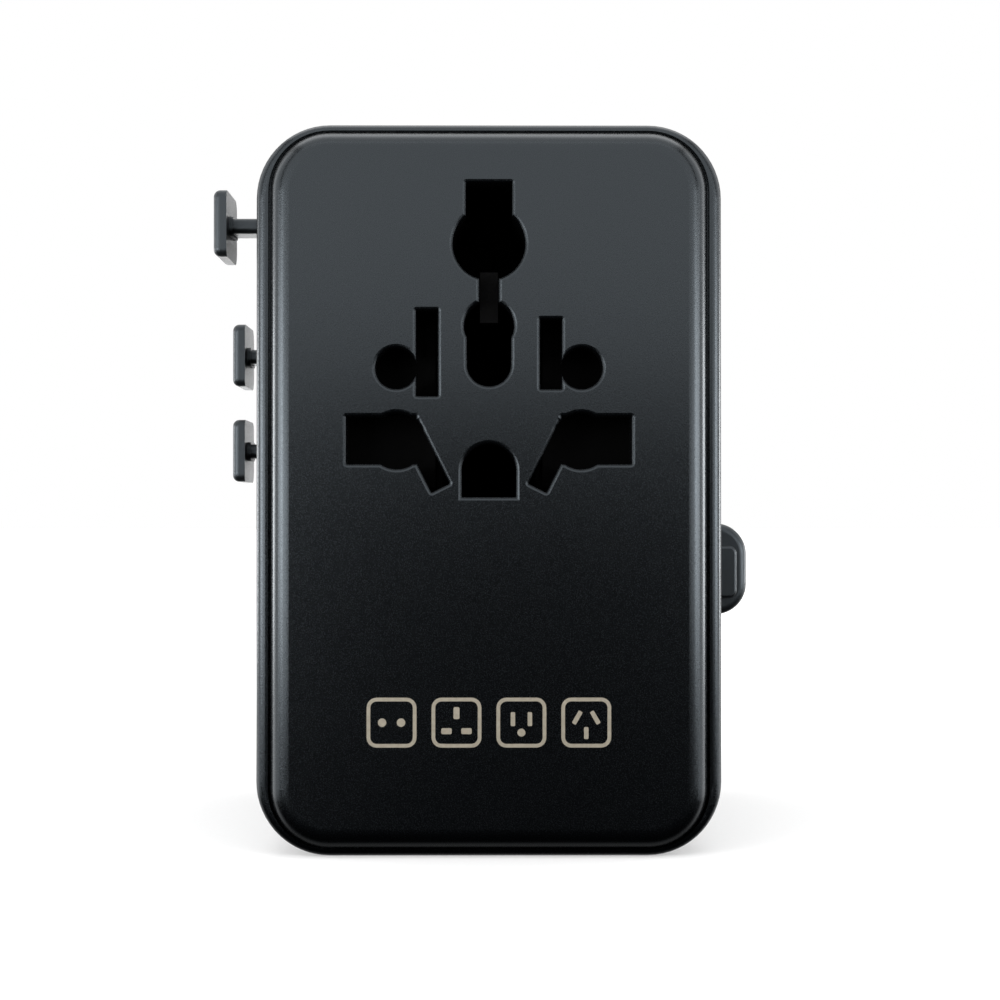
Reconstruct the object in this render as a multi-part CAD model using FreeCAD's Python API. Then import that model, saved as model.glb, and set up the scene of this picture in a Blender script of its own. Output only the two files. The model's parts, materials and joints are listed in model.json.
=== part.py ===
import FreeCAD, Part
import math
import os

# Universal travel adapter, in millimetres.
# X runs across the face, Y runs from the socket face towards the plug side, Z is up.
# The origin is at the centre of the bottom end. Depths are measured from the socket face.

# ---- driving dimensions ------------------------------------------------------------------
WIDTH = 48.0
HEIGHT = 75.4
THICKNESS = 60.0
CORNER = 7.6                    # corner radius of the outline
WALL = 1.9
FRONT = -THICKNESS / 2          # Y of the socket face
COVER = 2.5                     # thickness of the rear cover
COVER_FRONT = THICKNESS - COVER  # depth where the rear cover starts

RIM_SIDE = 1.27                 # visible rim beside the face plate
RIM_END = 0.67                  # visible rim above and below it
PANEL_GAP = 0.25
PANEL_THICK = 3.0
PANEL_CROWN = 2.0               # radius between the face plate's front and its bevel
PANEL_BEVEL = (0.9, 1.5)        # the steep bevel around the face plate: across, and back
RIM_SETBACK = 1.5               # depth of the rim's front edge
RIM_ROUND = 1.0                 # radius of the rim's outer edge
MOUTH_ROUND = 0.35              # rounding of the edges of the socket openings
MOUTH_STEP = 30                 # degrees turned by each of its flat bands
SLOT_CORNER = 0.45              # corner radius of the slots, in the plane of the face

EU_SPACING = 19.0
US_SPACING = 12.7
UK_SPACING = 22.2
UK_EARTH_RISE = 22.23           # height of the UK earth pin over the live and neutral pins
UK_ROW = 42.77                  # heights of the rows of pins on the plug side
US_ROW = 49.4
EU_ROW = 56.6
EARTH_ROW = UK_ROW + UK_EARTH_RISE

# Socket openings: height of the centre and radius, or height of the centre, width and height.
# Those at the sides start with the distance from the centre line.
UK_EARTH_SLOT, UK_EARTH_ROUND = (66.0, 5.4, 7.0), (62.9, 4.06)
MIDDLE_TOP, MIDDLE_SLOT, MIDDLE_LOW = (54.5, 2.9), (52.5, 5.2, 3.9), (50.55, 2.6)
NECK_SLOT = (58.2, 2.66, 4.2)
US_EARTH = (36.59, 39.65, 3.12)  # heights of its flat bottom and of its round's centre, radius
EU_HOLE = (50.14, 2.48)
US_SLOT_RIGHT, US_SLOT_LEFT = (51.58, 2.9, 7.85), (51.68, 2.9, 9.47)
UK_SLOT, UK_ROUND = (11.03, 42.76, 7.85, 5.6), (9.45, 42.7, 3.25)
SLANT_SLOT = (4.81, 37.55, 2.75, 8.0)   # its position is that of its lower end
SLANT = 26.6                    # degrees that it leans outwards

UK_PIN_W, UK_PIN_H = 6.35, 4.0
EARTH_PIN_W, EARTH_PIN_H = 4.0, 8.0
EU_PIN_R = 2.0
BLADE_T, BLADE_H = 1.5, 6.35
BLADE_TURN = 30.0               # the blades turn this far from the US to the Australian position

SLAB = 4.0                      # thickness of each carriage plate
UK_BACK, EU_BACK, US_BACK = 34.3, 38.0, 40.0   # depth of each carriage's rear face, pins in
UK_TIP, EARTH_TIP, EU_TIP, US_TIP = 54.7, 59.6, 59.4, 59.3
ARM_IN, ARM_OUT = 18.2, 20.4    # carriage arms run between these distances left of centre
HUB_R, HUB_FLANGE_R = 2.8, 3.2
HUB_PROUD = 0.1                 # end play of each blade hub in the carriage

KNOB_OUT = 28.95                # outer face of the knobs
KNOB_PLATE = (1.4, 10.0, 7.0)   # across, along the slide, up
KNOB_STEM = (5.0, 1.6)          # along the slide, up
KNOB_STEM_ROUND = 0.6
KNOB_COLLAR = (0.4, 5.4, 2.1)   # across, along the slide, up
SLOT_CLEAR = 0.25
UK_KNOB_Z, EU_KNOB_Z, US_KNOB_Z = 65.8, 53.2, 42.4
UK_KNOB_D, EU_KNOB_D, US_KNOB_D = 11.0, 29.0, 29.0   # depth of each stem's centre, pins in
UK_TRAVEL, EU_TRAVEL, US_TRAVEL = 23.0, 19.3, 17.3

BLOCK_X = 17.2                  # socket block: half width, and its depths and heights
BLOCK_D = (PANEL_THICK, 28.5)
BLOCK_Z = (34.6, 72.4)
TUNNEL_END = 27.0
POCKET_X = (4.3, 16.4)
POCKET_Z = (36.4, 57.4)
POCKET_D = 5.0

SHUTTER_AXIS = (15.4, 6.9)      # hinge pin of each shutter: across and depth
SHUTTER_PIN_R = 0.5
KNUCKLE_R = 0.95

BUTTON_OUT = 28.45
BUTTON_Z = (24.15, 34.2)
BUTTON_D = (18.0, 28.0)
BUTTON_ROUND = 3.4
BUTTON_PAD = (22.6, 27.3, 26.0, 31.7)   # raised pad on the front: X range, then Z range
PAD_PROUD = 0.6
BUTTON_FLANGE = (20.6, 22.0)    # inner flange, just inside the wall
SPRING_RIB = 15.8

FUSE_D, FUSE_Z = 14.0, 30.4     # depth and height of the fuse's axis, which runs across
FUSE_R, FUSE_HALF = 2.6, 10.0

BOARD_D = (36.0, 37.6)
BOARD_X = 15.5
USB_X = 8.2
USB_A = (13.1, 5.7, 13.6)       # across, deep, long
USB_C = (8.94, 3.26, 7.3)
PORT_RECESS = 0.4

SCREW_X, SCREW_Z = 17.6, (5.2, 70.2)
SCREW_R, SCREW_HEAD_R = 1.25, 2.2

TOL = 1e-4


# ---- helpers -----------------------------------------------------------------------------
def point(x, d, z):
    return FreeCAD.Vector(x, FRONT + d, z)


def box(x0, x1, d0, d1, z0, z1):
    return Part.makeBox(x1 - x0, d1 - d0, z1 - z0, point(x0, d0, z0))


def centred_box(x, z, width, height, d0, d1):
    return box(x - width / 2, x + width / 2, d0, d1, z - height / 2, z + height / 2)


def rod_x(d, z, radius, x0, x1):
    return Part.makeCylinder(radius, x1 - x0, point(x0, d, z), FreeCAD.Vector(1, 0, 0))


def rod_y(x, z, radius, d0, d1):
    return Part.makeCylinder(radius, d1 - d0, point(x, d0, z), FreeCAD.Vector(0, 1, 0))


def rod_z(x, d, radius, z0, z1):
    return Part.makeCylinder(radius, z1 - z0, point(x, d, z0), FreeCAD.Vector(0, 0, 1))


def mirrored(shape):
    return shape.mirror(FreeCAD.Vector(0, 0, 0), FreeCAD.Vector(1, 0, 0))


def both_sides(shape):
    return [shape, mirrored(shape)]


def fuse(shapes):
    return shapes[0].multiFuse(shapes[1:]).removeSplitter()


def turned(shape, x, z, degrees):
    """Turn a shape about the line along Y through (x, z)."""
    copy = shape.copy()
    copy.rotate(point(x, 0, z), FreeCAD.Vector(0, 1, 0), degrees)
    return copy


def edges_along(shape, axis):
    """Straight edges that run along the axis X, Y or Z (0, 1 or 2)."""
    found = []
    for edge in shape.Edges:
        ends = [v.Point for v in edge.Vertexes]
        if len(ends) == 2:
            step = ends[1] - ends[0]
            if all(abs(step[i]) < TOL for i in range(3) if i != axis):
                found.append(edge)
    return found


def edges_at(shape, d):
    """Edges that lie in the plane at depth d."""
    y = FRONT + d
    return [e for e in shape.Edges
            if abs(e.BoundBox.YMin - y) < TOL and abs(e.BoundBox.YMax - y) < TOL]


def rounded_box(x0, x1, d0, d1, z0, z1, radius, axis=1):
    solid = box(x0, x1, d0, d1, z0, z1)
    return solid.makeFillet(radius, edges_along(solid, axis))


def body_prism(side, end, radius, d0, d1):
    """A slice of the body's outline, inset by side and end, between two depths."""
    return rounded_box(-WIDTH / 2 + side, WIDTH / 2 - side, d0, d1, end, HEIGHT - end, radius)


# ---- socket openings ---------------------------------------------------------------------
def turned_point(x, z, a, b, tilt, d):
    """Point at (a, b) from (x, z), in axes that lean by tilt degrees."""
    cos_t, sin_t = math.cos(math.radians(tilt)), math.sin(math.radians(tilt))
    return point(x + a * cos_t + b * sin_t, d, z - a * sin_t + b * cos_t)


def rect_wire(x, z, width, height, tilt, grow, d):
    """Rectangle with rounded corners, tilted about its centre."""
    half_w, half_h, radius = width / 2 + grow, height / 2 + grow, SLOT_CORNER + grow
    arcs = []
    for quarter, (side_a, side_b) in enumerate(((1, 1), (-1, 1), (-1, -1), (1, -1))):
        centre_a, centre_b = side_a * (half_w - radius), side_b * (half_h - radius)
        angles = [math.radians(90 * quarter + step) for step in (0, 45, 90)]
        arcs.append([turned_point(x, z, centre_a + radius * math.cos(angle),
                                  centre_b + radius * math.sin(angle), tilt, d) for angle in angles])
    edges = []
    for arc, following in zip(arcs, arcs[1:] + arcs[:1]):
        edges += [Part.Arc(*arc).toShape(), Part.makeLine(arc[2], following[0])]
    return Part.Wire(edges)


def circle_wire(x, z, radius, grow, d):
    return Part.Wire(Part.makeCircle(radius + grow, point(x, d, z), FreeCAD.Vector(0, 1, 0)))


def arch_wire(z_flat, z_centre, radius, grow, d):
    """Flat bottom and half-round top, on the centre line."""
    r, low = radius + grow, z_flat - grow
    left, right = point(-r, d, z_centre), point(r, d, z_centre)
    foot_l, foot_r = point(-r, d, low), point(r, d, low)
    arc = Part.Arc(right, point(0, d, z_centre + r), left).toShape()
    lines = [Part.makeLine(left, foot_l), Part.makeLine(foot_l, foot_r), Part.makeLine(foot_r, right)]
    return Part.Wire([arc] + lines)


def centre_outlines(grow, d):
    """UK earth with its round, the tall middle opening and the US earth."""
    return [rect_wire(0, *UK_EARTH_SLOT, 0, grow, d), circle_wire(0, *UK_EARTH_ROUND, grow, d),
            circle_wire(0, *MIDDLE_TOP, grow, d), rect_wire(0, *MIDDLE_SLOT, 0, grow, d),
            circle_wire(0, *MIDDLE_LOW, grow, d), arch_wire(*US_EARTH, grow, d)]


def neck_outline(grow, d):
    return [rect_wire(0, *NECK_SLOT, 0, grow, d)]


def side_outlines(side, grow, d):
    """Round hole, US slot, UK slot with its round, and slanted slot, on one side."""
    us_slot = US_SLOT_RIGHT if side > 0 else US_SLOT_LEFT
    uk_slot_x, uk_round_x = side * UK_SLOT[0], side * UK_ROUND[0]
    slant_x, slant_z, slant_w, slant_h = SLANT_SLOT
    slant_x += slant_h / 2 * math.sin(math.radians(SLANT))
    slant_z += slant_h / 2 * math.cos(math.radians(SLANT))
    return [circle_wire(side * EU_SPACING / 2, *EU_HOLE, grow, d),
            rect_wire(side * US_SPACING / 2, *us_slot, 0, grow, d),
            rect_wire(uk_slot_x, *UK_SLOT[1:], 0, grow, d),
            circle_wire(uk_round_x, *UK_ROUND[1:], grow, d),
            rect_wire(side * slant_x, slant_z, slant_w, slant_h, side * SLANT, grow, d)]


def all_outlines(grow, d):
    return (centre_outlines(grow, d) + neck_outline(grow, d)
            + side_outlines(1, grow, d) + side_outlines(-1, grow, d))


def opening(outlines, grow0, d0, grow1, d1):
    """The space inside a set of outlines, from one depth and size to another."""
    pairs = zip(outlines(grow0, d0), outlines(grow1, d1))
    return fuse([Part.makeLoft([a, b], True, True) for a, b in pairs])


def mouth_profile():
    """Growth and depth of the openings' rounded edge, from just outside the face to the bore."""
    angles = [math.radians(a) for a in range(0, 91, MOUTH_STEP)]
    profile = [(-MOUTH_ROUND * math.sin(a), MOUTH_ROUND * (1 - math.cos(a))) for a in angles]
    (grow0, d0), (grow1, d1) = profile[:2]
    over = 0.02
    profile[0] = (over, d0 - over * (d1 - d0) / (grow0 - grow1))
    return profile


# ---- housing -----------------------------------------------------------------------------
def front_wire(shape, d):
    """Outline of the flat face that a shape has at depth d."""
    flat = [f for f in shape.Faces if abs(f.BoundBox.YMin - FRONT - d) < TOL and f.BoundBox.YLength < TOL]
    return flat[0].OuterWire


def face_plate():
    side, end = RIM_SIDE + PANEL_GAP, RIM_END + PANEL_GAP
    across, back = PANEL_BEVEL
    base = body_prism(side, end, CORNER - side, back, PANEL_THICK)
    front = body_prism(side + across, end + across, CORNER - side - across, 0, back)
    crown = Part.makeLoft([front_wire(front, 0), front_wire(base, back)], True, True)
    plate = base.fuse(crown).removeSplitter()
    plate = plate.makeFillet(PANEL_CROWN, edges_at(plate, 0))
    profile = mouth_profile()
    cuts = [opening(all_outlines, *p, *q) for p, q in zip(profile, profile[1:])]
    cuts.append(opening(all_outlines, -MOUTH_ROUND, MOUTH_ROUND, -MOUTH_ROUND, PANEL_THICK + 0.1))
    return plate.cut(fuse(cuts))


def shell_ribs():
    """Inner ribs: block supports, carriage guides, spring rib, sheet rail and screw bosses."""
    inner = WIDTH / 2 - WALL
    ribs = [box(-inner - 0.5, -BLOCK_X, 5, 26, z, z + 1.2) for z in (36.0, 58.2)]
    ribs += [box(BLOCK_X, inner + 0.5, 5, 26, z, z + 1.2) for z in (36.0, 60.0)]
    ribs += both_sides(box(9.0, 10.2, 30, 57.4, 67.4, HEIGHT - 1))
    ribs.append(box(20.6, inner + 0.5, 30, 57.4, 50.0, 51.2))
    ribs.append(box(SPRING_RIB - 1.2, SPRING_RIB, 18.5, 27.9, 1, 33.4))
    ribs.append(box(-inner - 0.5, -20.6, 30, 57.4, 31.4, 32.6))
    ribs.append(box(16.2, 17.4, 38, 57.4, 1, 33.2))
    for z, up in ((SCREW_Z[0], -1), (SCREW_Z[1], 1)):
        boss = rod_y(SCREW_X, z, 2.4, 40, COVER_FRONT)
        web_z = sorted((z, z + up * 4.0))
        boss = boss.fuse(box(SCREW_X - 1, SCREW_X + 1, 40, COVER_FRONT, web_z[0], web_z[1]))
        ribs += both_sides(boss)
    return ribs


def knob_slot(stem_d, z, travel):
    half = KNOB_STEM[0] / 2 + SLOT_CLEAR
    half_z = KNOB_STEM[1] / 2 + SLOT_CLEAR
    return box(-WIDTH / 2 - 1, -WIDTH / 2 + WALL + 1, stem_d - half, stem_d + travel + half,
               z - half_z, z + half_z)


def port_cuts():
    """Mouths of the charging ports, through the bottom wall."""
    cuts = []
    for side in (-1, 1):
        x = side * USB_X
        cuts.append(box(x - USB_A[0] / 2 - 0.1, x + USB_A[0] / 2 + 0.1,
                        BOARD_D[0] - USB_A[1] - 0.1, BOARD_D[0] + 0.1, -1, WALL + 1))
        half = USB_C[0] / 2 + 0.1
        cuts.append(rounded_box(x - half, x + half, BOARD_D[1] - 0.1, BOARD_D[1] + USB_C[1] + 0.1,
                                -1, WALL + 1, 1.6, axis=2))
    return cuts


def main_shell():
    outer = body_prism(0, 0, CORNER, RIM_SETBACK, COVER_FRONT)
    outer = outer.makeFillet(RIM_ROUND, edges_at(outer, RIM_SETBACK))
    inner = body_prism(WALL, WALL, CORNER - WALL, PANEL_THICK, COVER_FRONT + 1)
    recess = body_prism(RIM_SIDE, RIM_END, CORNER - RIM_SIDE, 0, PANEL_THICK)
    shell = outer.cut(inner)
    whole = body_prism(0, 0, CORNER, RIM_SETBACK, COVER_FRONT)
    ribs = fuse(shell_ribs()).common(whole)
    shell = shell.fuse(ribs).cut(recess)
    cuts = [knob_slot(UK_KNOB_D, UK_KNOB_Z, UK_TRAVEL), knob_slot(EU_KNOB_D, EU_KNOB_Z, EU_TRAVEL),
            knob_slot(US_KNOB_D, US_KNOB_Z, US_TRAVEL)]
    wall = (WIDTH / 2 - WALL - 0.2, WIDTH / 2 + 1)
    cuts.append(box(*wall, BUTTON_D[0] - 0.2, BUTTON_D[1] + 0.2, BUTTON_Z[0] - 0.2, BUTTON_Z[1] + 0.2))
    cuts.append(box(*wall, BUTTON_D[0] - PAD_PROUD - 0.2, BUTTON_D[0],
                    BUTTON_PAD[2] - 0.2, BUTTON_PAD[3] + 0.2))
    for x in (-SCREW_X, SCREW_X):
        for z in SCREW_Z:
            cuts.append(rod_y(x, z, SCREW_R, 46, COVER_FRONT + 1))
    return shell.cut(fuse(cuts + port_cuts())).removeSplitter()


def blade_window(side):
    """Bow-tie slot that lets a blade turn at any point of its travel."""
    x, clear = side * US_SPACING / 2, 0.2
    width, height = BLADE_T + 2 * clear, BLADE_H + 2 * clear
    ends = (COVER_FRONT - 1, THICKNESS + 1)
    straight = centred_box(x, US_ROW, width, height, *ends)
    reach = 6.0
    tip = (x + side * reach * math.sin(math.radians(BLADE_TURN)),
           US_ROW + reach * math.cos(math.radians(BLADE_TURN)))
    corners = [point(x, ends[0], US_ROW), point(x, ends[0], US_ROW + reach),
               point(tip[0], ends[0], tip[1])]
    wedge = Part.Face(Part.makePolygon(corners + corners[:1]))
    wedge = wedge.extrude(FreeCAD.Vector(0, ends[1] - ends[0], 0))
    disc = rod_y(x, US_ROW, math.hypot(width, height) / 2, *ends)
    sector = wedge.fuse(turned(wedge, x, US_ROW, 180)).common(disc)
    return fuse([straight, turned(straight, x, US_ROW, side * BLADE_TURN), sector])


def rear_cover():
    cover = body_prism(0, 0, CORNER, COVER_FRONT, THICKNESS)
    cover = cover.makeFillet(1.0, edges_at(cover, THICKNESS))
    through = (COVER_FRONT - 3, THICKNESS + 1)
    cuts = [centred_box(0, EARTH_ROW, EARTH_PIN_W + 0.4, EARTH_PIN_H + 0.4, *through)]
    tabs = []
    for side in (-1, 1):
        cuts.append(centred_box(side * UK_SPACING / 2, UK_ROW, UK_PIN_W + 0.4, UK_PIN_H + 0.4, *through))
        cuts.append(rod_y(side * EU_SPACING / 2, EU_ROW, EU_PIN_R + 0.2, *through))
        cuts.append(blade_window(side))
        for z in SCREW_Z:
            cuts.append(rod_y(side * SCREW_X, z, SCREW_R + 0.15, *through))
            cuts.append(rod_y(side * SCREW_X, z, SCREW_HEAD_R + 0.15, THICKNESS - 1.4, THICKNESS + 1))
        edge = side * (WIDTH / 2 - WALL)
        span = sorted((edge, edge - side * 1.1))
        tabs.append(box(span[0], span[1], COVER_FRONT - 1.4, COVER_FRONT + 0.1, 14, 26))
    return fuse([cover] + tabs).cut(fuse(cuts))


def cover_screws():
    solids = []
    for x in (-SCREW_X, SCREW_X):
        for z in SCREW_Z:
            head = rod_y(x, z, SCREW_HEAD_R, THICKNESS - 1.4, THICKNESS - 0.2)
            shank = rod_y(x, z, SCREW_R, 49.0, THICKNESS - 1.4)
            cross = centred_box(x, z, 2.4, 0.6, THICKNESS - 0.9, THICKNESS)
            cross = cross.fuse(centred_box(x, z, 0.6, 2.4, THICKNESS - 0.9, THICKNESS))
            solids.append(fuse([head, shank]).cut(cross))
    return solids


# ---- socket ------------------------------------------------------------------------------
def socket_block():
    block = rounded_box(-BLOCK_X, BLOCK_X, BLOCK_D[0], BLOCK_D[1], BLOCK_Z[0], BLOCK_Z[1], 1.5)
    ends = (-0.2, BLOCK_D[0] - 0.1, -0.2, TUNNEL_END)
    cuts = [opening(centre_outlines, *ends)]
    for side in (-1, 1):
        cuts.append(opening(lambda grow, d, s=side: side_outlines(s, grow, d), *ends))
        pocket = box(POCKET_X[0], POCKET_X[1], POCKET_D, TUNNEL_END, POCKET_Z[0], POCKET_Z[1])
        bus_slot = box(15.5, 16.3, 20, BLOCK_D[1] + 1, 39.5, 44.0)
        pin_hole = rod_z(SHUTTER_AXIS[0], SHUTTER_AXIS[1], SHUTTER_PIN_R, 35.4, 58.4)
        for cut in (pocket, bus_slot, pin_hole):
            cuts.append(cut if side > 0 else mirrored(cut))
    rib = box(-0.93, 0.93, 1.7, TUNNEL_END + 0.5, 54.9, 60.1)
    return block.cut(fuse(cuts)).fuse(rib).removeSplitter()


def contact():
    """Sprung brass contact for one pole: a strip, two jaws for flat pins, two leaves for the rest."""
    sheet, d0, d1 = 0.5, 18.8, 26.4
    strip = box(15.0, 15.5, d0, TUNNEL_END, 39.4, 53.2)
    back = box(8.6, 15.2, d1, TUNNEL_END, 39.4, 53.2)
    jaws = [box(8.6, 15.2, d0, d1 + 0.1, z, z + sheet) for z in (39.7, 45.3)]
    leaf = box(12.2, 12.7, d0, d1 + 0.1, 47.6, 53.2)
    arm = box(4.6, 8.8, d1, TUNNEL_END, 47.6, 53.2)
    blade_leaf = box(4.6, 5.1, d0, d1 + 0.1, 47.6, 53.2)
    return fuse([strip, back] + jaws + [leaf, arm, blade_leaf])


def bus_bar():
    return box(15.5, 16.3, 20.0, 56.0, 39.5, 44.0)


def shutter():
    """Hinged flap behind the live or neutral openings, on the right-hand side."""
    x, d = SHUTTER_AXIS
    plate = box(4.7, x - 0.4, d - 0.5, d + 0.5, 36.8, 57.0)
    plate = plate.makeFillet(0.3, edges_along(plate, 2))
    relief = box(x - 2.2, x + 1, d - 1, d + 1, 53.6, 58)
    knuckle = rod_z(x, d, KNUCKLE_R, 36.8, 53.6)
    rib = box(5.6, 6.6, d - 1.3, d - 0.3, 38.0, 56.0)
    bore = rod_z(x, d, SHUTTER_PIN_R + 0.05, 36, 58)
    return fuse([plate.cut(relief), knuckle, rib]).cut(bore)


def shutter_pin():
    return rod_z(SHUTTER_AXIS[0], SHUTTER_AXIS[1], SHUTTER_PIN_R, 35.4, 58.4)


def shutter_spring():
    """Torsion spring of square wire, wound around the hinge pin."""
    wire, coil_r, pitch, turns = 0.26, 0.72, 0.5, 5
    helix = Part.Wire(Part.makeHelix(pitch, pitch * turns, coil_r))
    half = wire / 2
    corners = [FreeCAD.Vector(coil_r + a * half, 0, b * half)
               for a, b in ((-1, -1), (1, -1), (1, 1), (-1, 1), (-1, -1))]
    spring = helix.makePipeShell([Part.makePolygon(corners)], True, True)
    spring.translate(point(SHUTTER_AXIS[0], SHUTTER_AXIS[1], 54.2))
    return spring


# ---- knobs and carriages -----------------------------------------------------------------
def knob(d, z):
    """Thumb plate with a low collar and a stem that passes through the side slot into the carriage."""
    thick, length, height = KNOB_PLATE
    inner = -KNOB_OUT + thick
    front, rear = d - length / 2, d + length / 2
    plate = box(-KNOB_OUT, inner, front, rear, z - height / 2, z + height / 2)
    corners = edges_along(plate, 0)
    rear_corners = [e for e in corners if e.BoundBox.YMin > FRONT + rear - TOL]
    plate = plate.makeFillet(1.4, rear_corners)
    front_corners = [e for e in edges_along(plate, 0) if e.BoundBox.YMax < FRONT + front + TOL]
    plate = plate.makeFillet(0.8, front_corners)
    plate = plate.makeFillet(0.7, [e for e in plate.Edges if e.BoundBox.XMax < -KNOB_OUT + TOL])
    stem_l, stem_h = KNOB_STEM
    stem = box(inner, -ARM_IN - 0.8, d - stem_l / 2, d + stem_l / 2, z - stem_h / 2, z + stem_h / 2)
    stem = stem.makeFillet(KNOB_STEM_ROUND, edges_along(stem, 0))
    collar_t, collar_l, collar_h = KNOB_COLLAR
    collar = box(inner - 0.1, inner + collar_t, d - collar_l / 2, d + collar_l / 2,
                 z - collar_h / 2, z + collar_h / 2)
    collar = collar.makeFillet(0.8, edges_along(collar, 0))
    return fuse([plate, collar, stem])


def arm(d0, d1, z0, z1):
    """Leg of a carriage that runs forward along the inside of the left wall to its knob."""
    return box(-ARM_OUT, -ARM_IN, d0, d1, z0, z1)


def uk_carriage():
    d0, d1 = UK_BACK - SLAB, UK_BACK
    pieces = [box(-ARM_OUT, ARM_OUT, d0, d1, 60.4, 67.2),
              box(-3.4, 3.4, d0, d1, 60.4, 69.9),
              box(16.6, ARM_OUT, d0, d1, 34.0, 61.0),
              box(-14.8, ARM_OUT, d0, d1, 34.0, 38.2),
              arm(UK_KNOB_D - 3.5, d1, 61.6, 67.2)]
    pieces += both_sides(box(7.4, 14.8, d0, d1, 34.0, 45.5))
    carriage = fuse(pieces)
    holes = [uk_pin(1), uk_pin(-1), earth_pin(), knob(UK_KNOB_D, UK_KNOB_Z)]
    return carriage.cut(fuse(holes))


def blunt(solid, d, size):
    """Chamfer the tip of a pin, at depth d."""
    return solid.makeChamfer(size, edges_at(solid, d))


def uk_pin(side):
    x = side * UK_SPACING / 2
    root = centred_box(x, UK_ROW, 5.35, 3.0, UK_BACK - 3, 46.0)
    blade = centred_box(x, UK_ROW, UK_PIN_W, UK_PIN_H, 46.0, UK_TIP)
    return fuse([root, blunt(blade, UK_TIP, 0.9)])


def uk_pin_sleeves():
    solids = []
    for side in (-1, 1):
        x = side * UK_SPACING / 2
        outer = centred_box(x, UK_ROW, UK_PIN_W, UK_PIN_H, UK_BACK, 46.0)
        solids.append(outer.cut(centred_box(x, UK_ROW, 5.35, 3.0, UK_BACK - 1, 47.0)))
    return solids


def earth_pin():
    pin = centred_box(0, EARTH_ROW, EARTH_PIN_W, EARTH_PIN_H, UK_BACK - 3, EARTH_TIP)
    return blunt(pin, EARTH_TIP, 1.0)


def eu_carriage():
    d0, d1 = EU_BACK - SLAB, EU_BACK
    plate = rounded_box(-12.9, 12.9, d0, d1, 53.4, 59.8, 1.5)
    bridge = box(-ARM_OUT, -11.0, d0, d1, 53.4, 57.4)
    pieces = [plate, bridge, arm(EU_KNOB_D - 3.5, d1, 51.5, 57.4)]
    holes = [eu_pin(1), eu_pin(-1), knob(EU_KNOB_D, EU_KNOB_Z)]
    return fuse(pieces).cut(fuse(holes))


def eu_pin(side):
    x = side * EU_SPACING / 2
    root = rod_y(x, EU_ROW, 1.45, EU_BACK - 3, 50.7)
    tip = rod_y(x, EU_ROW, EU_PIN_R, 50.7, EU_TIP)
    return fuse([root, tip.makeFillet(1.2, edges_at(tip, EU_TIP))])


def eu_pin_sleeves():
    solids = []
    for side in (-1, 1):
        x = side * EU_SPACING / 2
        outer = rod_y(x, EU_ROW, EU_PIN_R - 0.1, EU_BACK, 50.7)
        solids.append(outer.cut(rod_y(x, EU_ROW, 1.45, EU_BACK - 1, 51.0)))
    return solids


def us_carriage():
    d0, d1 = US_BACK - SLAB, US_BACK
    plate = rounded_box(-10.2, 10.2, d0, d1, 46.0, 52.8, 1.5)
    bridge = box(-ARM_OUT, -8.8, d0, d1, 46.2, 50.2)
    leg = arm(d0, d1, 40.8, 50.2)
    pieces = [plate, bridge, leg, arm(US_KNOB_D - 3.5, d1, 40.8, 46.0)]
    holes = [rod_y(side * US_SPACING / 2, US_ROW, HUB_R + 0.05, d0 - 1, d1 + 1) for side in (-1, 1)]
    holes.append(knob(US_KNOB_D, US_KNOB_Z))
    return fuse(pieces).cut(fuse(holes))


def blade(side):
    """Flat blade with a narrower root that is moulded into its turning hub."""
    x = side * US_SPACING / 2
    root = centred_box(x, US_ROW, BLADE_T, 3.4, US_BACK - SLAB - 0.6, US_BACK + 0.2)
    flat = centred_box(x, US_ROW, BLADE_T, BLADE_H, US_BACK + HUB_PROUD, US_TIP)
    tip = flat.makeChamfer(0.5, edges_at(flat, US_TIP))
    return fuse([root, tip])


def blade_hub(side):
    x = side * US_SPACING / 2
    barrel = rod_y(x, US_ROW, HUB_R, US_BACK - SLAB - 1.2, US_BACK + HUB_PROUD)
    flange = rod_y(x, US_ROW, HUB_FLANGE_R, US_BACK - SLAB - 1.2, US_BACK - SLAB - HUB_PROUD)
    return fuse([barrel, flange]).cut(blade(side))


# ---- release button ----------------------------------------------------------------------
def release_button():
    """D-shaped button on the right side, with an inner flange and a raised pad on its front."""
    d0, d1 = BUTTON_D
    lug = box(BUTTON_FLANGE[0], BUTTON_OUT, d0, d1, BUTTON_Z[0], BUTTON_Z[1])
    corners = [e for e in edges_along(lug, 1) if e.BoundBox.XMin > BUTTON_OUT - TOL]
    lug = lug.makeFillet(BUTTON_ROUND, corners)
    outside = [e for e in edges_at(lug, d0) + edges_at(lug, d1) if e.BoundBox.XMax > WIDTH / 2]
    lug = lug.makeFillet(0.8, outside)
    x0, x1, z0, z1 = BUTTON_PAD
    pad = rounded_box(x0, x1, d0 - PAD_PROUD, d0 + 1, z0, z1, 0.8)
    pad = pad.makeFillet(0.3, edges_at(pad, d0 - PAD_PROUD))
    flange = box(BUTTON_FLANGE[0], BUTTON_FLANGE[1], d0 - 1.2, d1 + 1.2, 22.7, 35.2)
    return fuse([lug, pad, flange])


def lock_bar():
    """Bar pressed by the button, with a tooth that stops the carriages in the real object."""
    bar = box(17.8, BUTTON_FLANGE[0], 19.0, 29.8, 31.6, 34.4)
    tooth = box(17.8, 19.4, 28.8, 29.8, 34.4, 36.2)
    return fuse([bar, tooth])


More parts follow.
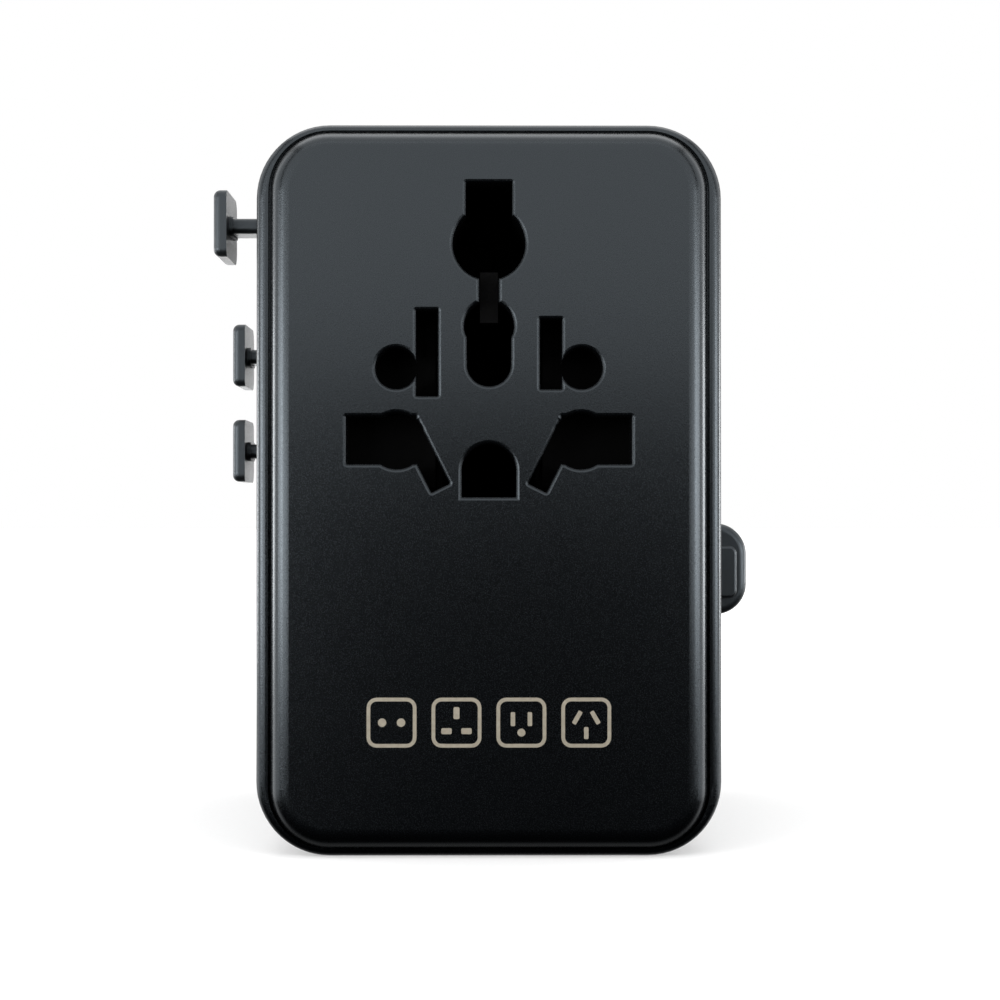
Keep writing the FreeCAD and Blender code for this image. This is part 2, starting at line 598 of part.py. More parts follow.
def button_spring():
    wire_r, coil_r, turns = 0.25, 2.0, 4
    length = BUTTON_FLANGE[0] - SPRING_RIB - 2 * wire_r
    helix = Part.makeHelix(length / turns, length, coil_r)
    ring = Part.Wire(Part.makeCircle(wire_r, FreeCAD.Vector(coil_r, 0, 0), FreeCAD.Vector(0, 1, 0)))
    spring = Part.Wire(helix).makePipeShell([ring], True, True)
    spring.rotate(FreeCAD.Vector(0, 0, 0), FreeCAD.Vector(0, 1, 0), 90)
    spring.translate(point(SPRING_RIB + wire_r, 23.2, 28.4))
    return spring


# ---- electrics ---------------------------------------------------------------------------
def fuse_body():
    return rod_x(FUSE_D, FUSE_Z, FUSE_R - 0.2, 3 - FUSE_HALF, FUSE_HALF - 3)


def fuse_caps():
    cap = rod_x(FUSE_D, FUSE_Z, FUSE_R, FUSE_HALF - 3, FUSE_HALF)
    rim = [e for e in cap.Edges if e.BoundBox.XMin > FUSE_HALF - TOL]
    return both_sides(cap.makeFillet(0.4, rim))


def fuse_clips():
    """Two sheet-metal forks that hang from the socket block and grip the fuse's caps."""
    sheet, top = 0.4, BLOCK_Z[0]
    x0, x1 = FUSE_HALF - 2.8, FUSE_HALF - 0.4
    near, far = FUSE_D - FUSE_R, FUSE_D + FUSE_R
    leaves = [box(x0, x1, near - sheet, near, FUSE_Z - 1.5, top),
              box(x0, x1, far, far + sheet, FUSE_Z - 1.5, top)]
    base = box(x0, x1, near, far, top - sheet, top)
    return both_sides(fuse(leaves + [base]))


def charger_board():
    return box(-BOARD_X, BOARD_X, BOARD_D[0], BOARD_D[1], 3.5, 31.0)


def transformer_core():
    core = box(-14.5, 0.5, 24.5, 35.0, 16.5, 30.5)
    return core.cut(box(-12.0, -2.0, 20.0, 40.0, 19.0, 28.0))


def transformer_winding():
    """Taped winding on its bobbin, inside the core, down to the board."""
    return rounded_box(-12.0, -2.0, 22.5, BOARD_D[0], 19.0, 28.0, 1.2)


def capacitors():
    cans = []
    for z in (19.5, 27.3):
        can = rod_y(6.6, z, 3.7, 24.0, BOARD_D[0])
        cans.append(can.makeFillet(0.6, edges_at(can, 24.0)))
    return cans


def usb_a_shell(side):
    x, (w, t, length) = side * USB_X, USB_A
    d0, z0 = BOARD_D[0] - t, PORT_RECESS
    outer = box(x - w / 2, x + w / 2, d0, BOARD_D[0], z0, z0 + length)
    return outer.cut(box(x - w / 2 + 0.3, x + w / 2 - 0.3, d0 + 0.3, BOARD_D[0] - 0.3,
                         z0 - 1, z0 + length - 0.3))


def usb_a_tongue(side):
    x, (w, t, length) = side * USB_X, USB_A
    top = PORT_RECESS + length - 0.3
    stop = box(x - w / 2 + 0.3, x + w / 2 - 0.3, BOARD_D[0] - t + 0.3, BOARD_D[0] - 0.3, top - 3, top)
    tongue = box(x - 5.55, x + 5.55, BOARD_D[0] - 2.3, BOARD_D[0] - 0.9, PORT_RECESS + 0.8, top)
    return fuse([stop, tongue])


def usb_c_shell(side):
    x, (w, t, length) = side * USB_X, USB_C
    d1, z0 = BOARD_D[1] + t, PORT_RECESS
    outer = rounded_box(x - w / 2, x + w / 2, BOARD_D[1], d1, z0, z0 + length, t / 2 - 0.01, axis=2)
    return outer.cut(rounded_box(x - w / 2 + 0.3, x + w / 2 - 0.3, BOARD_D[1] + 0.3, d1 - 0.3,
                                 z0 - 1, z0 + length - 0.3, t / 2 - 0.31, axis=2))


def usb_c_tongue(side):
    x, mid, top = side * USB_X, BOARD_D[1] + USB_C[1] / 2, PORT_RECESS + USB_C[2] - 0.3
    return box(x - 3.35, x + 3.35, mid - 0.35, mid + 0.35, PORT_RECESS + 0.6, top)


def insulator_sheet():
    return box(-22.0, 16.2, 30.2, 57.2, 32.6, 33.2)


# ---- output ------------------------------------------------------------------------------
def group(shapes):
    return Part.makeCompound(shapes)


def nodes():
    parts = {
        "face_plate": face_plate(), "main_shell": main_shell(), "rear_cover": rear_cover(),
        "cover_screws": group(cover_screws()), "socket_block": socket_block(),
        "live_contact": contact(), "neutral_contact": mirrored(contact()),
        "live_bus_bar": bus_bar(), "neutral_bus_bar": mirrored(bus_bar()),
        "shutter_right": shutter(), "shutter_left": mirrored(shutter()),
        "shutter_pins": group(both_sides(shutter_pin())),
        "shutter_springs": group(both_sides(shutter_spring())),
        "uk_carriage": uk_carriage(), "uk_live_pin": uk_pin(1), "uk_neutral_pin": uk_pin(-1),
        "uk_earth_pin": earth_pin(), "uk_pin_sleeves": group(uk_pin_sleeves()),
        "uk_knob": knob(UK_KNOB_D, UK_KNOB_Z),
        "eu_carriage": eu_carriage(), "eu_live_pin": eu_pin(1), "eu_neutral_pin": eu_pin(-1),
        "eu_pin_sleeves": group(eu_pin_sleeves()), "eu_knob": knob(EU_KNOB_D, EU_KNOB_Z),
        "us_carriage": us_carriage(), "us_knob": knob(US_KNOB_D, US_KNOB_Z),
        "blade_right": blade(1), "blade_left": blade(-1),
        "blade_hub_right": blade_hub(1), "blade_hub_left": blade_hub(-1),
        "release_button": release_button(), "lock_bar": lock_bar(),
        "button_spring": button_spring(),
        "fuse_body": fuse_body(), "fuse_caps": group(fuse_caps()),
        "fuse_clips": group(fuse_clips()), "charger_board": charger_board(),
        "transformer_core": transformer_core(), "transformer_winding": transformer_winding(),
        "capacitors": group(capacitors()), "insulator_sheet": insulator_sheet()}
    for name, maker in (("usb_a_shell", usb_a_shell), ("usb_a_tongue", usb_a_tongue),
                        ("usb_c_shell", usb_c_shell), ("usb_c_tongue", usb_c_tongue)):
        parts[name + "s"] = group([maker(-1), maker(1)])
    return parts


def main():
    os.makedirs("parts", exist_ok=True)
    for name, shape in nodes().items():
        shape.exportStep("parts/" + name + ".step")
        print(name, len(shape.Solids), round(shape.Volume, 2), shape.isValid())


main()
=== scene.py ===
import json
import math

import bmesh
import bpy
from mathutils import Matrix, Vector

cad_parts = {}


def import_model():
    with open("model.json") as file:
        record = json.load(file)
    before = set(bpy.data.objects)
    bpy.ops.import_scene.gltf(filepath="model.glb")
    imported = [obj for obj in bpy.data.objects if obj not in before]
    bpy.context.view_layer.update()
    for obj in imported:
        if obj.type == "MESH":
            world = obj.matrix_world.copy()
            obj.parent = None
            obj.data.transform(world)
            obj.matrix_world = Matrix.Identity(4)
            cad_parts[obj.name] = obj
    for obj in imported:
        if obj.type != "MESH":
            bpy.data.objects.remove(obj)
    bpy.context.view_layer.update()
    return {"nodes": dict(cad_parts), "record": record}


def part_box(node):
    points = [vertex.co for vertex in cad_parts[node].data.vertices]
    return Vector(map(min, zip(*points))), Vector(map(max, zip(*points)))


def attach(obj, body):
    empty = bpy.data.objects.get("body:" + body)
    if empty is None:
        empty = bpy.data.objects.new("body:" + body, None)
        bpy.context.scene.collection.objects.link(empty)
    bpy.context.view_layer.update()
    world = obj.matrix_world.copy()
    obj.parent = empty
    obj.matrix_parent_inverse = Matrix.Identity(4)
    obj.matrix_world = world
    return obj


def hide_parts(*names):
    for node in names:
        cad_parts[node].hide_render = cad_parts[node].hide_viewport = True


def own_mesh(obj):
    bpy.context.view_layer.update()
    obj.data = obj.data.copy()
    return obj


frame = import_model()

MM = 0.001
scene = bpy.context.scene
scene.view_settings.view_transform = "Standard"

# ---- places taken from the frame ---------------------------------------------------------
FACE_LOW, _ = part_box("face_plate")
SHELL_LOW, SHELL_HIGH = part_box("main_shell")
COVER_LOW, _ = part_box("rear_cover")
FACE_Y = FACE_LOW.y
CENTRE_X = (SHELL_LOW.x + SHELL_HIGH.x) / 2


# ---- node helpers ------------------------------------------------------------------------
class Tree:
    """Short forms for building a node tree."""

    def __init__(self, tree):
        self.tree = tree

    def add(self, kind, **settings):
        node = self.tree.nodes.new(kind)
        for key, value in settings.items():
            setattr(node, key, value)
        return node

    def link(self, source, target):
        self.tree.links.new(source, target)

    def remap(self, value, low, high, start=0.0, end=1.0, **settings):
        """Values from start to end become values from low to high."""
        node = self.add("ShaderNodeMapRange", **settings)
        node.inputs["From Min"].default_value = start
        node.inputs["From Max"].default_value = end
        node.inputs["To Min"].default_value = low
        node.inputs["To Max"].default_value = high
        self.link(value, node.inputs["Value"])
        return node.outputs["Result"]

    def combine(self, operation, first, second):
        node = self.add("ShaderNodeMath", operation=operation)
        self.link(first, node.inputs[0])
        self.link(second, node.inputs[1])
        return node.outputs["Value"]


class Surface(Tree):
    """One material, with short forms for its textures and its shader."""

    def __init__(self, name):
        self.material = bpy.data.materials.new(name)
        self.material.use_nodes = True
        super().__init__(self.material.node_tree)
        self.shader = self.tree.nodes["Principled BSDF"]
        self.coords = self.add("ShaderNodeTexCoord").outputs["Object"]

    def noise(self, size, detail=2.0, stretch=(1, 1, 1)):
        """Noise whose features are about size metres across."""
        mapping = self.add("ShaderNodeMapping")
        mapping.inputs["Scale"].default_value = stretch
        self.link(self.coords, mapping.inputs["Vector"])
        node = self.add("ShaderNodeTexNoise")
        node.inputs["Scale"].default_value = 1 / size
        node.inputs["Detail"].default_value = detail
        self.link(mapping.outputs["Vector"], node.inputs["Vector"])
        return node.outputs["Fac"]

    def mix_colour(self, factor, first, second):
        node = self.add("ShaderNodeMix", data_type="RGBA")
        self.link(factor, node.inputs["Factor"])
        node.inputs["A"].default_value = (*first, 1)
        node.inputs["B"].default_value = (*second, 1)
        return node.outputs["Result"]

    def bump(self, height, strength, distance):
        node = self.add("ShaderNodeBump")
        node.inputs["Strength"].default_value = strength
        node.inputs["Distance"].default_value = distance
        self.link(height, node.inputs["Height"])
        return node.outputs["Normal"]

    def feed(self, **sources):
        """Link a node's output to each of these inputs of the shader."""
        for key, source in sources.items():
            self.link(source, self.shader.inputs[key.replace("_", " ")])

    def set(self, **values):
        """Give each of these inputs of the shader one value."""
        for key, value in values.items():
            self.shader.inputs[key.replace("_", " ")].default_value = value


# ---- materials ---------------------------------------------------------------------------
MIDDLE = (0.3, 0.7)             # most values of a noise lie between these
NARROW = (0.35, 0.65)           # narrower, for stronger differences
GRAIN = 0.11 * MM               # size of the plastic's spark-eroded grain
GRAIN_DEPTH = 0.03 * MM
MOTTLE = 6 * MM                 # size of the plastic's patches of slightly different tone
METAL_MOTTLE = 3 * MM           # the same for metal
MARKS = 0.4 * MM                # width of the fine marks on metal
MARK_DEPTH = 0.02 * MM


def plastic(name, dark, light, rough, grain=GRAIN, depth=0.2, specular=0.5, sheen=(1, 1, 1)):
    """Moulded plastic: a spark-eroded grain, with slight unevenness of colour and gloss."""
    s = Surface(name)
    tone, fine = s.noise(MOTTLE, detail=3), s.noise(grain)
    s.feed(Base_Color=s.mix_colour(s.remap(tone, 0, 1, *MIDDLE), dark, light),
           Roughness=s.remap(fine, rough - 0.05, rough + 0.07, *MIDDLE),
           Normal=s.bump(fine, depth, GRAIN_DEPTH))
    s.set(Specular_IOR_Level=specular, Specular_Tint=(*sheen, 1))
    return s.material


def metal(name, dark, light, rough, brushed):
    """Drawn, stamped or plated metal. Its fine marks are long where brushed is small."""
    s = Surface(name)
    tone, marks = s.noise(METAL_MOTTLE, detail=3), s.noise(MARKS, detail=4, stretch=brushed)
    s.feed(Base_Color=s.mix_colour(s.remap(tone, 0, 1, *NARROW), dark, light),
           Roughness=s.remap(marks, rough * 0.7, rough * 1.4, *MIDDLE),
           Normal=s.bump(marks, 0.05, MARK_DEPTH))
    s.set(Metallic=1.0)
    return s.material


def circuit_board():
    """Green solder mask over copper tracks, which show as slightly raised, lighter bands."""
    s = Surface("circuit_board")
    pitch, edge = 2.2 * MM, (0.42, 0.46)
    voronoi = s.add("ShaderNodeTexVoronoi", feature="F1", distance="CHEBYCHEV")
    voronoi.inputs["Scale"].default_value = 1 / pitch
    s.link(s.coords, voronoi.inputs["Vector"])
    tracks = s.remap(voronoi.outputs["Distance"], 0, 1, *edge)
    s.feed(Base_Color=s.mix_colour(tracks, (0.006, 0.09, 0.03), (0.012, 0.17, 0.055)),
           Normal=s.bump(tracks, 0.4, 0.04 * MM))
    s.set(Roughness=0.3)
    return s.material


def winding_tape():
    """Yellow polyester tape wound round the coil, with the edge of each turn showing."""
    s = Surface("winding_tape")
    pitch = 4 * MM
    wave = s.add("ShaderNodeTexWave", wave_type="BANDS", bands_direction="Z")
    wave.inputs["Scale"].default_value = 1 / pitch
    wave.inputs["Distortion"].default_value = 0.6
    s.link(s.coords, wave.inputs["Vector"])
    turns = wave.outputs["Fac"]
    s.feed(Base_Color=s.mix_colour(turns, (0.55, 0.36, 0.03), (0.75, 0.55, 0.08)),
           Normal=s.bump(turns, 0.3, 0.05 * MM))
    s.set(Roughness=0.28)
    return s.material


def print_ink():
    """Pad-printed warm grey ink, a little uneven, with a faint metallic flake."""
    s = Surface("print_ink")
    mottle, flake = s.noise(0.35 * MM, detail=4), s.noise(0.09 * MM)
    dark, light = (0.23, 0.205, 0.16), (0.29, 0.26, 0.205)
    s.feed(Base_Color=s.mix_colour(s.remap(mottle, 0, 1, *MIDDLE), dark, light),
           Roughness=s.remap(flake, 0.42, 0.62, *MIDDLE),
           Normal=s.bump(flake, 0.15, 0.02 * MM))
    s.set(Metallic=0.25)
    return s.material


COOL_SHEEN = (0.80, 0.91, 1.0)  # the black plastic's highlights are slightly blue
KNOB_BLACK = (0.004, 0.0045, 0.005)
PAD_PAINTED_HIGHLIGHT = (0.11, 0.115, 0.12)  # paler grey painted on the button's raised pad: a painted highlight for the light it catches

# Slot: dark tone, light tone, roughness, and what differs from ordinary plastic
PLASTICS = {
    "body_plastic": ((0.0004, 0.0005, 0.0007), (0.0006, 0.0007, 0.0009), 0.235, {"sheen": COOL_SHEEN}),
    "knob_plastic": (KNOB_BLACK, (0.006, 0.0065, 0.007), 0.36, {"sheen": COOL_SHEEN}),
    "inner_plastic": ((0.0003, 0.0003, 0.0004), (0.0005, 0.0005, 0.0006), 0.7, {"specular": 0.05}),
    "pin_plastic": ((0.010, 0.010, 0.011), (0.014, 0.014, 0.015), 0.3, {}),
    "sleeve_plastic": ((0.006, 0.006, 0.007), (0.009, 0.009, 0.010), 0.28, {}),
    "port_plastic": ((0.006, 0.006, 0.007), (0.009, 0.009, 0.010), 0.5, {}),
    "fuse_ceramic": ((0.78, 0.76, 0.70), (0.86, 0.84, 0.79), 0.25, {"depth": 0.05}),
    "ferrite": ((0.012, 0.012, 0.013), (0.020, 0.020, 0.022), 0.5, {"grain": 0.3 * MM}),
    "capacitor_can": ((0.008, 0.010, 0.030), (0.012, 0.015, 0.042), 0.25, {}),
    "insulator_film": ((0.42, 0.39, 0.30), (0.55, 0.52, 0.42), 0.6, {}),
}
# Slot: dark tone, light tone, roughness, and the stretch of its fine marks
METALS = {
    "nickel_plate": ((0.70, 0.68, 0.64), (0.80, 0.78, 0.74), 0.16, (1, 0.08, 1)),
    "brass_sheet": ((0.66, 0.45, 0.17), (0.80, 0.58, 0.26), 0.28, (1, 0.1, 1)),
    "spring_steel": ((0.42, 0.42, 0.43), (0.56, 0.56, 0.57), 0.25, (1, 1, 1)),
    "dark_steel": ((0.06, 0.06, 0.065), (0.10, 0.10, 0.105), 0.32, (1, 1, 1)),
    "port_steel": ((0.50, 0.50, 0.51), (0.62, 0.62, 0.63), 0.24, (1, 1, 0.06)),
}


def materials():
    """One material for each of the record's slots."""
    slots = {name: plastic(name, *row, **extra) for name, (*row, extra) in PLASTICS.items()}
    slots.update({name: metal(name, *row) for name, row in METALS.items()})
    slots["circuit_board"] = circuit_board()
    slots["winding_tape"] = winding_tape()
    return slots


def button_plastic():
    """The knobs' plastic, with a paler grey painted where the button stands proud in front, a painted
    highlight on its raised pad.
    """
    s = Surface("button_plastic")
    low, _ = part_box("release_button")
    pad_depth, blend = 0.3 * MM, 0.05 * MM
    axes = s.add("ShaderNodeSeparateXYZ")
    s.link(s.coords, axes.inputs[0])
    # Mask of the raised pad, where a paler grey is painted as a highlight; its roughness also differs
    pad_highlight_mask = s.remap(axes.outputs["Y"], 1, 0, low.y + pad_depth - blend, low.y + pad_depth + blend)
    s.feed(Base_Color=s.mix_colour(pad_highlight_mask, KNOB_BLACK, PAD_PAINTED_HIGHLIGHT),
           Roughness=s.remap(pad_highlight_mask, 0.34, 0.55),
           Normal=s.bump(s.noise(GRAIN), 0.2, GRAIN_DEPTH))
    s.set(Specular_Tint=(*COOL_SHEEN, 1))
    return s.material


def dress_frame(slots):
    """Give every CAD node the material of its slot, and the button its own."""
    slot_of = {row["node"]: row["material_slot"] for row in frame["record"]["subparts"]}
    for name, node in frame["nodes"].items():
        node.data.materials.clear()
        node.data.materials.append(slots[slot_of[name]])
    frame["nodes"]["release_button"].data.materials[0] = button_plastic()


# ---- mesh helpers ------------------------------------------------------------------------
def finish_mesh(name, bm, material):
    bmesh.ops.recalc_face_normals(bm, faces=bm.faces)
    mesh = bpy.data.meshes.new(name)
    bm.to_mesh(mesh)
    bm.free()
    mesh.materials.append(material)
    obj = bpy.data.objects.new(name, mesh)
    scene.collection.objects.link(obj)
    return obj


def join_rings(bm, first, second):
    """Join two closed rings that have as many points."""
    for i in range(len(first)):
        j = (i + 1) % len(first)
        bm.faces.new((first[i], second[i], second[j], first[j]))


def round_angles(count):
    """Evenly spaced angles, once round."""
    return [2 * math.pi * i / count for i in range(count)]


# ---- printed pictograms ------------------------------------------------------------------
INK = 0.015 * MM                # thickness of the print
FACE_MARK = 5.1 * MM            # width of a pictogram on the face
FACE_MARK_RISE = 13.9 * MM      # height of its middle over the bottom end
SIDE_MARK = 3.6 * MM            # width of a pictogram beside a knob
KNOB_TO_MARK = 6 * MM           # from a knob's front edge forward to its pictogram's middle
COVER_TO_MARK = 12 * MM         # from the rear cover forward to the middle of the UK pictogram
SIDE_MARKS = {"uk_knob": ("britain",), "eu_knob": ("europe",), "us_knob": ("america", "australia")}
FRAME_LINE = 0.075              # line width of a pictogram's frame, as a share of its width
PITCH = 1.3                     # from one pictogram's middle to the next one's, likewise
DISC_POINTS = 40
CORNER_STEPS = 6                # steps round each corner of a bar


def disc(x, z, radius):
    return [(x + radius * math.cos(a), z + radius * math.sin(a)) for a in round_angles(DISC_POINTS)]


def bar(x, z, width, height, tilt=0.0, corner=0.25):
    """Outline of a bar with rounded corners; corner is a share of its shorter side."""
    radius = corner * min(width, height)
    turn = math.radians(tilt)
    outline = []
    for quarter in range(4):
        side_x = 1 if quarter in (0, 3) else -1
        side_z = 1 if quarter in (0, 1) else -1
        middle_x, middle_z = side_x * (width / 2 - radius), side_z * (height / 2 - radius)
        for step in range(CORNER_STEPS + 1):
            angle = math.pi / 2 * (quarter + step / CORNER_STEPS)
            a, b = middle_x + radius * math.cos(angle), middle_z + radius * math.sin(angle)
            outline.append((x + a * math.cos(turn) + b * math.sin(turn),
                            z - a * math.sin(turn) + b * math.cos(turn)))
    return outline


def pin_marks(kind):
    """Outlines of one country's pins, in a square from -0.5 to 0.5."""
    if kind == "europe":
        return [disc(-0.19, 0, 0.085), disc(0.19, 0, 0.085)]
    if kind == "britain":
        return [bar(0, 0.19, 0.12, 0.24), bar(-0.2, -0.17, 0.21, 0.12), bar(0.2, -0.17, 0.21, 0.12)]
    if kind == "america":
        return [bar(-0.17, 0.07, 0.09, 0.28), bar(0.17, 0.07, 0.09, 0.28), disc(0, -0.2, 0.08)]
    return [bar(-0.18, 0.1, 0.09, 0.29, 30), bar(0.18, 0.1, 0.09, 0.29, -30), bar(0, -0.21, 0.09, 0.24)]


def raise_outline(bm, place, outline, hole=None):
    """Add a thin solid with this outline, and a hole with as many points, if one is given."""
    lines = [outline] if hole is None else [outline, hole]
    rings = [[bm.verts.new(place(a, b, h)) for a, b in line] for line in lines for h in (0, 1)]
    low, top = rings[:2]
    join_rings(bm, low, top)
    if hole is None:
        bm.faces.new(low)
        bm.faces.new(list(reversed(top)))
        return
    low_in, top_in = rings[2:]
    join_rings(bm, top_in, low_in)
    join_rings(bm, low_in, low)
    join_rings(bm, top, top_in)


def pictogram(name, kinds, place, ink):
    """A row of framed pin pictograms printed on a flat face. place turns flat coordinates into space."""
    bm = bmesh.new()
    inside = 1 - 2 * FRAME_LINE
    for index, kind in enumerate(kinds):
        offset = (index - (len(kinds) - 1) / 2) * PITCH

        def put(a, b, h, offset=offset):
            return place(a + offset, b, h)

        raise_outline(bm, put, bar(0, 0, 1, 1, corner=0.2), bar(0, 0, inside, inside, corner=0.15))
        for outline in pin_marks(kind):
            raise_outline(bm, put, outline)
    return finish_mesh(name, bm, ink)


def on_face(centre_x, centre_z, size):
    """Flat coordinates on the socket face, read from in front."""
    def place(a, b, h):
        return Vector((centre_x + a * size, FACE_Y - h * INK, centre_z + b * size))
    return place


def on_left(centre_y, centre_z, size):
    """Flat coordinates on the left side, read from the left."""
    def place(a, b, h):
        return Vector((SHELL_LOW.x - h * INK, centre_y - a * size, centre_z + b * size))
    return place


def prints(ink):
    """The row of pictograms on the face, and one beside each knob's slot."""
    face = pictogram("face_pictograms", ("europe", "britain", "america", "australia"),
                     on_face(CENTRE_X, SHELL_LOW.z + FACE_MARK_RISE, FACE_MARK), ink)
    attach(face, "housing")
    for knob, kinds in SIDE_MARKS.items():
        low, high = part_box(knob)
        beside = low.y - KNOB_TO_MARK if knob != "uk_knob" else COVER_LOW.y - COVER_TO_MARK
        mark = pictogram(knob.replace("knob", "mark"), kinds,
                         on_left(beside, (low.z + high.z) / 2, SIDE_MARK), ink)
        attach(mark, "housing")


# ---- button spring -----------------------------------------------------------------------
WIRE = 0.25 * MM                # radius of the wire
WIRE_SIDES = 14                 # points round the wire
TURNS = 4
TURN_STEPS = 40                 # rings of points in one turn


def coil(bm, low, high):
    """Wound wire that fills the box from low to high, with its axis along X."""
    middle, along = (low + high) / 2, Vector((1, 0, 0))
    length = high.x - low.x - 2 * WIRE
    radius = (high.z - low.z) / 2 - WIRE
    steps = TURNS * TURN_STEPS
    rings = []
    for step in range(steps + 1):
        angle = 2 * math.pi * step / TURN_STEPS
        out = Vector((0, math.cos(angle), math.sin(angle)))
        centre = Vector((low.x + WIRE + length * step / steps, middle.y, middle.z)) + out * radius
        rings.append([bm.verts.new(centre + WIRE * (out * math.cos(a) + along * math.sin(a)))
                      for a in round_angles(WIRE_SIDES)])
    for first, second in zip(rings, rings[1:]):
        join_rings(bm, first, second)
    bm.faces.new(rings[0])
    bm.faces.new(rings[-1])


def button_spring(steel):
    """Compression spring from the housing's rib to the button."""
    low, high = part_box("button_spring")
    bm = bmesh.new()
    coil(bm, low, high)
    spring = finish_mesh("coil_spring", bm, steel)
    spring.data.shade_smooth()
    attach(spring, "housing")
    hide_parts("button_spring")
    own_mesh(spring)


# ---- camera ------------------------------------------------------------------------------
CAMERA_DISTANCE = 228 * MM      # in front of the socket face
CAMERA_RISE = 34.9 * MM         # over the bottom end
CAMERA_OFFSET = -0.2 * MM       # from the middle, so slightly to the left
CAMERA_TILT = 0.437             # degrees upwards
CAMERA_TURN = -0.334            # degrees about Z, so slightly to the right
LENS, SENSOR = 80.3, 36.0       # millimetres
CLIP_NEAR, CLIP_FAR = 0.01, 20  # metres


def camera():
    """In front of the socket face, a little below its middle, turned a fraction of a degree."""
    data = bpy.data.cameras.new("camera")
    data.lens, data.sensor_width = LENS, SENSOR
    data.clip_start, data.clip_end = CLIP_NEAR, CLIP_FAR
    obj = bpy.data.objects.new("camera", data)
    obj.location = (CENTRE_X + CAMERA_OFFSET, FACE_Y - CAMERA_DISTANCE, SHELL_LOW.z + CAMERA_RISE)
    obj.rotation_euler = (math.radians(90 + CAMERA_TILT), 0, math.radians(CAMERA_TURN))
    scene.collection.objects.link(obj)
    scene.camera = obj


# ---- light tent, in metres ---------------------------------------------------------------
# The side flaps and the strips end little above the object, because its flat top would mirror
# taller ones.
FLAP_Y = FACE_Y - 0.16
# Flaps round the camera's opening: name, left and right edge, low and high edge, radiance
FLAPS = (
    ("front_flap", (-0.25, 0.25), (0.056, 0.356), 1.36),
    ("left_flap", (-0.266, -0.066), (0.006, 0.094), 5.0),
    ("right_flap", (0.072, 0.272), (0.016, 0.100), 2.8),
)
# Narrow strips on each side: name, degrees from straight in front, height, size and radiance
STRIPS = (
    ("_front_strip", 60, 0.0475, (0.13, 0.075), 6.0),
    ("_back_strip", 112, 0.043, (0.07, 0.066), 8.0),
)
STRIP_DISTANCE = 0.25           # from the middle of the face
WALL_X, WALL_Y, WALL_Z = 0.30, -0.02, 0.17  # middle of the right wall
WALL_SIZE = (0.28, 0.48)
ROOF_Z, ROOF_SIZE = 0.42, (0.5, 0.5)
TENT_RADIANCE = 1.3


def panel(name, centre, facing, size, radiance):
    """Soft box: a glowing rectangle that the camera doesn't see. Radiance 1 is the white of the room."""
    data = bpy.data.lights.new(name, "AREA")
    data.shape = "RECTANGLE"
    data.size, data.size_y = size
    data.energy = 4 * radiance * size[0] * size[1]
    obj = bpy.data.objects.new(name, data)
    obj.location = centre
    obj.rotation_euler = Vector(facing).to_track_quat("-Z", "Y").to_euler()
    obj.visible_camera = False
    scene.collection.objects.link(obj)


def lights():
    """A small light tent: the flaps around the camera's opening, its two sides, and its roof."""
    for name, (left, right), (low, high), radiance in FLAPS:
        centre = ((left + right) / 2, FLAP_Y, (low + high) / 2)
        panel(name, centre, (0, 1, 0), (right - left, high - low), radiance)
    for side, name in ((-1, "left"), (1, "right")):
        panel(name + "_side", (side * WALL_X, WALL_Y, WALL_Z), (-side, 0, 0), WALL_SIZE, TENT_RADIANCE)
        for place, degrees, middle, size, radiance in STRIPS:
            angle = math.radians(degrees)
            away = Vector((side * math.sin(angle), -math.cos(angle), 0))
            centre = Vector((0, FACE_Y, middle)) + away * STRIP_DISTANCE
            panel(name + place, centre, -away, size, radiance)
    panel("roof", (0, 0, ROOF_Z), (0, 0, -1), ROOF_SIZE, TENT_RADIANCE)


# ---- room and floor ----------------------------------------------------------------------
# The room gets brighter from front to back: start and end of each rise along Y, and its radiance
ROOM_RISES = ((-0.05, 0.35, 0.9), (0.97, 0.995, 4.5))
# It is dimmer below: start and end of the rise along Z, and the share of the light that is left
BELOW_START, BELOW_END, BELOW_SHARE = -0.75, -0.35, 0.2
FLOOR_REACH = 6.0               # from the middle to each edge
FLOOR_GAP = 0.05 * MM           # under the bottom end
FLOOR_GREYS = (0.52, 0.52, 0.52), (0.56, 0.56, 0.56)
GLOW_NEAR, GLOW_FAR = 0.35, 1.1  # the floor's own light beside the object and away from it
GLOW_START, GLOW_END = 0.05, 0.20  # where it rises from one to the other


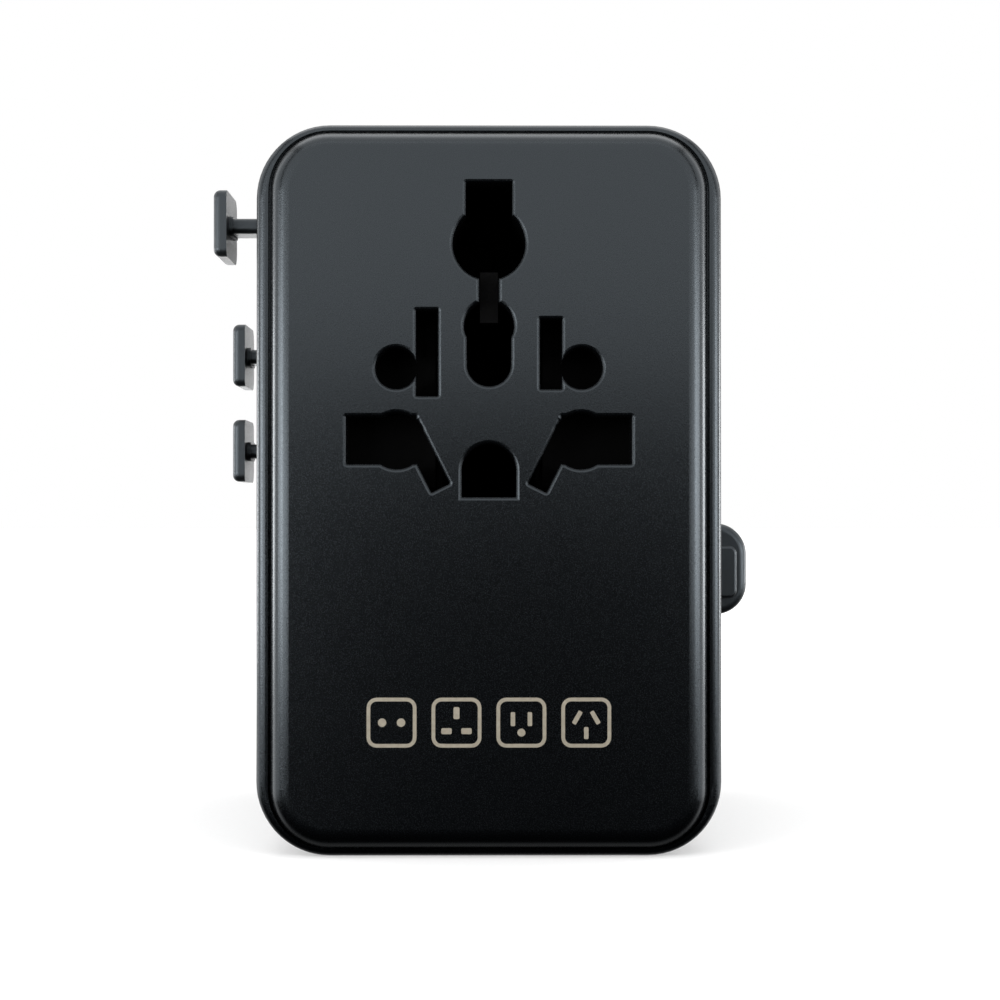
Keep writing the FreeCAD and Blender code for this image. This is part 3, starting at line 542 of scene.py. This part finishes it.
def world():
    """White room behind the object, a dark one in front of it, and white to the camera everywhere."""
    data = bpy.data.worlds.new("studio")
    data.use_nodes = True
    data.node_tree.nodes.clear()
    t = Tree(data.node_tree)
    axes = t.add("ShaderNodeSeparateXYZ")
    t.link(t.add("ShaderNodeTexCoord").outputs["Generated"], axes.inputs[0])
    rises = [t.remap(axes.outputs["Y"], 0, radiance, start, end, interpolation_type="SMOOTHSTEP")
             for start, end, radiance in ROOM_RISES]
    share = t.remap(axes.outputs["Z"], BELOW_SHARE, 1, BELOW_START, BELOW_END,
                    interpolation_type="SMOOTHSTEP")
    strength = t.add("ShaderNodeMix")
    t.link(t.add("ShaderNodeLightPath").outputs["Is Camera Ray"], strength.inputs["Factor"])
    t.link(t.combine("MULTIPLY", t.combine("ADD", *rises), share), strength.inputs["A"])
    strength.inputs["B"].default_value = 1.0
    shade = t.add("ShaderNodeBackground")
    shade.inputs["Color"].default_value = (1, 1, 1, 1)
    t.link(strength.outputs["Result"], shade.inputs["Strength"])
    t.link(shade.outputs["Background"], t.add("ShaderNodeOutputWorld").inputs["Surface"])
    scene.world = data


def floor():
    """Plain pale floor, seen by the camera but kept out of the object's reflections."""
    mesh = bpy.data.meshes.new("floor")
    low = SHELL_LOW.z - FLOOR_GAP
    corners = [(FLOOR_REACH * x, FLOOR_REACH * y, low) for x, y in ((-1, -1), (1, -1), (1, 1), (-1, 1))]
    mesh.from_pydata(corners, [], [(0, 1, 2, 3)])
    obj = bpy.data.objects.new("floor", mesh)
    scene.collection.objects.link(obj)
    s = Surface("floor_paper")
    away = s.add("ShaderNodeVectorMath", operation="LENGTH")
    s.link(s.coords, away.inputs[0])
    s.feed(Base_Color=s.mix_colour(s.noise(0.6 * MM, detail=3), *FLOOR_GREYS),
           Emission_Strength=s.remap(away.outputs["Value"], GLOW_NEAR, GLOW_FAR, GLOW_START, GLOW_END))
    s.set(Roughness=0.9, Specular_IOR_Level=0.0, Emission_Color=(1, 1, 1, 1))
    mesh.materials.append(s.material)
    obj.visible_glossy = False
    obj.visible_diffuse = False


slots = materials()
dress_frame(slots)
prints(print_ink())
button_spring(slots["spring_steel"])
camera()
lights()
world()
floor()
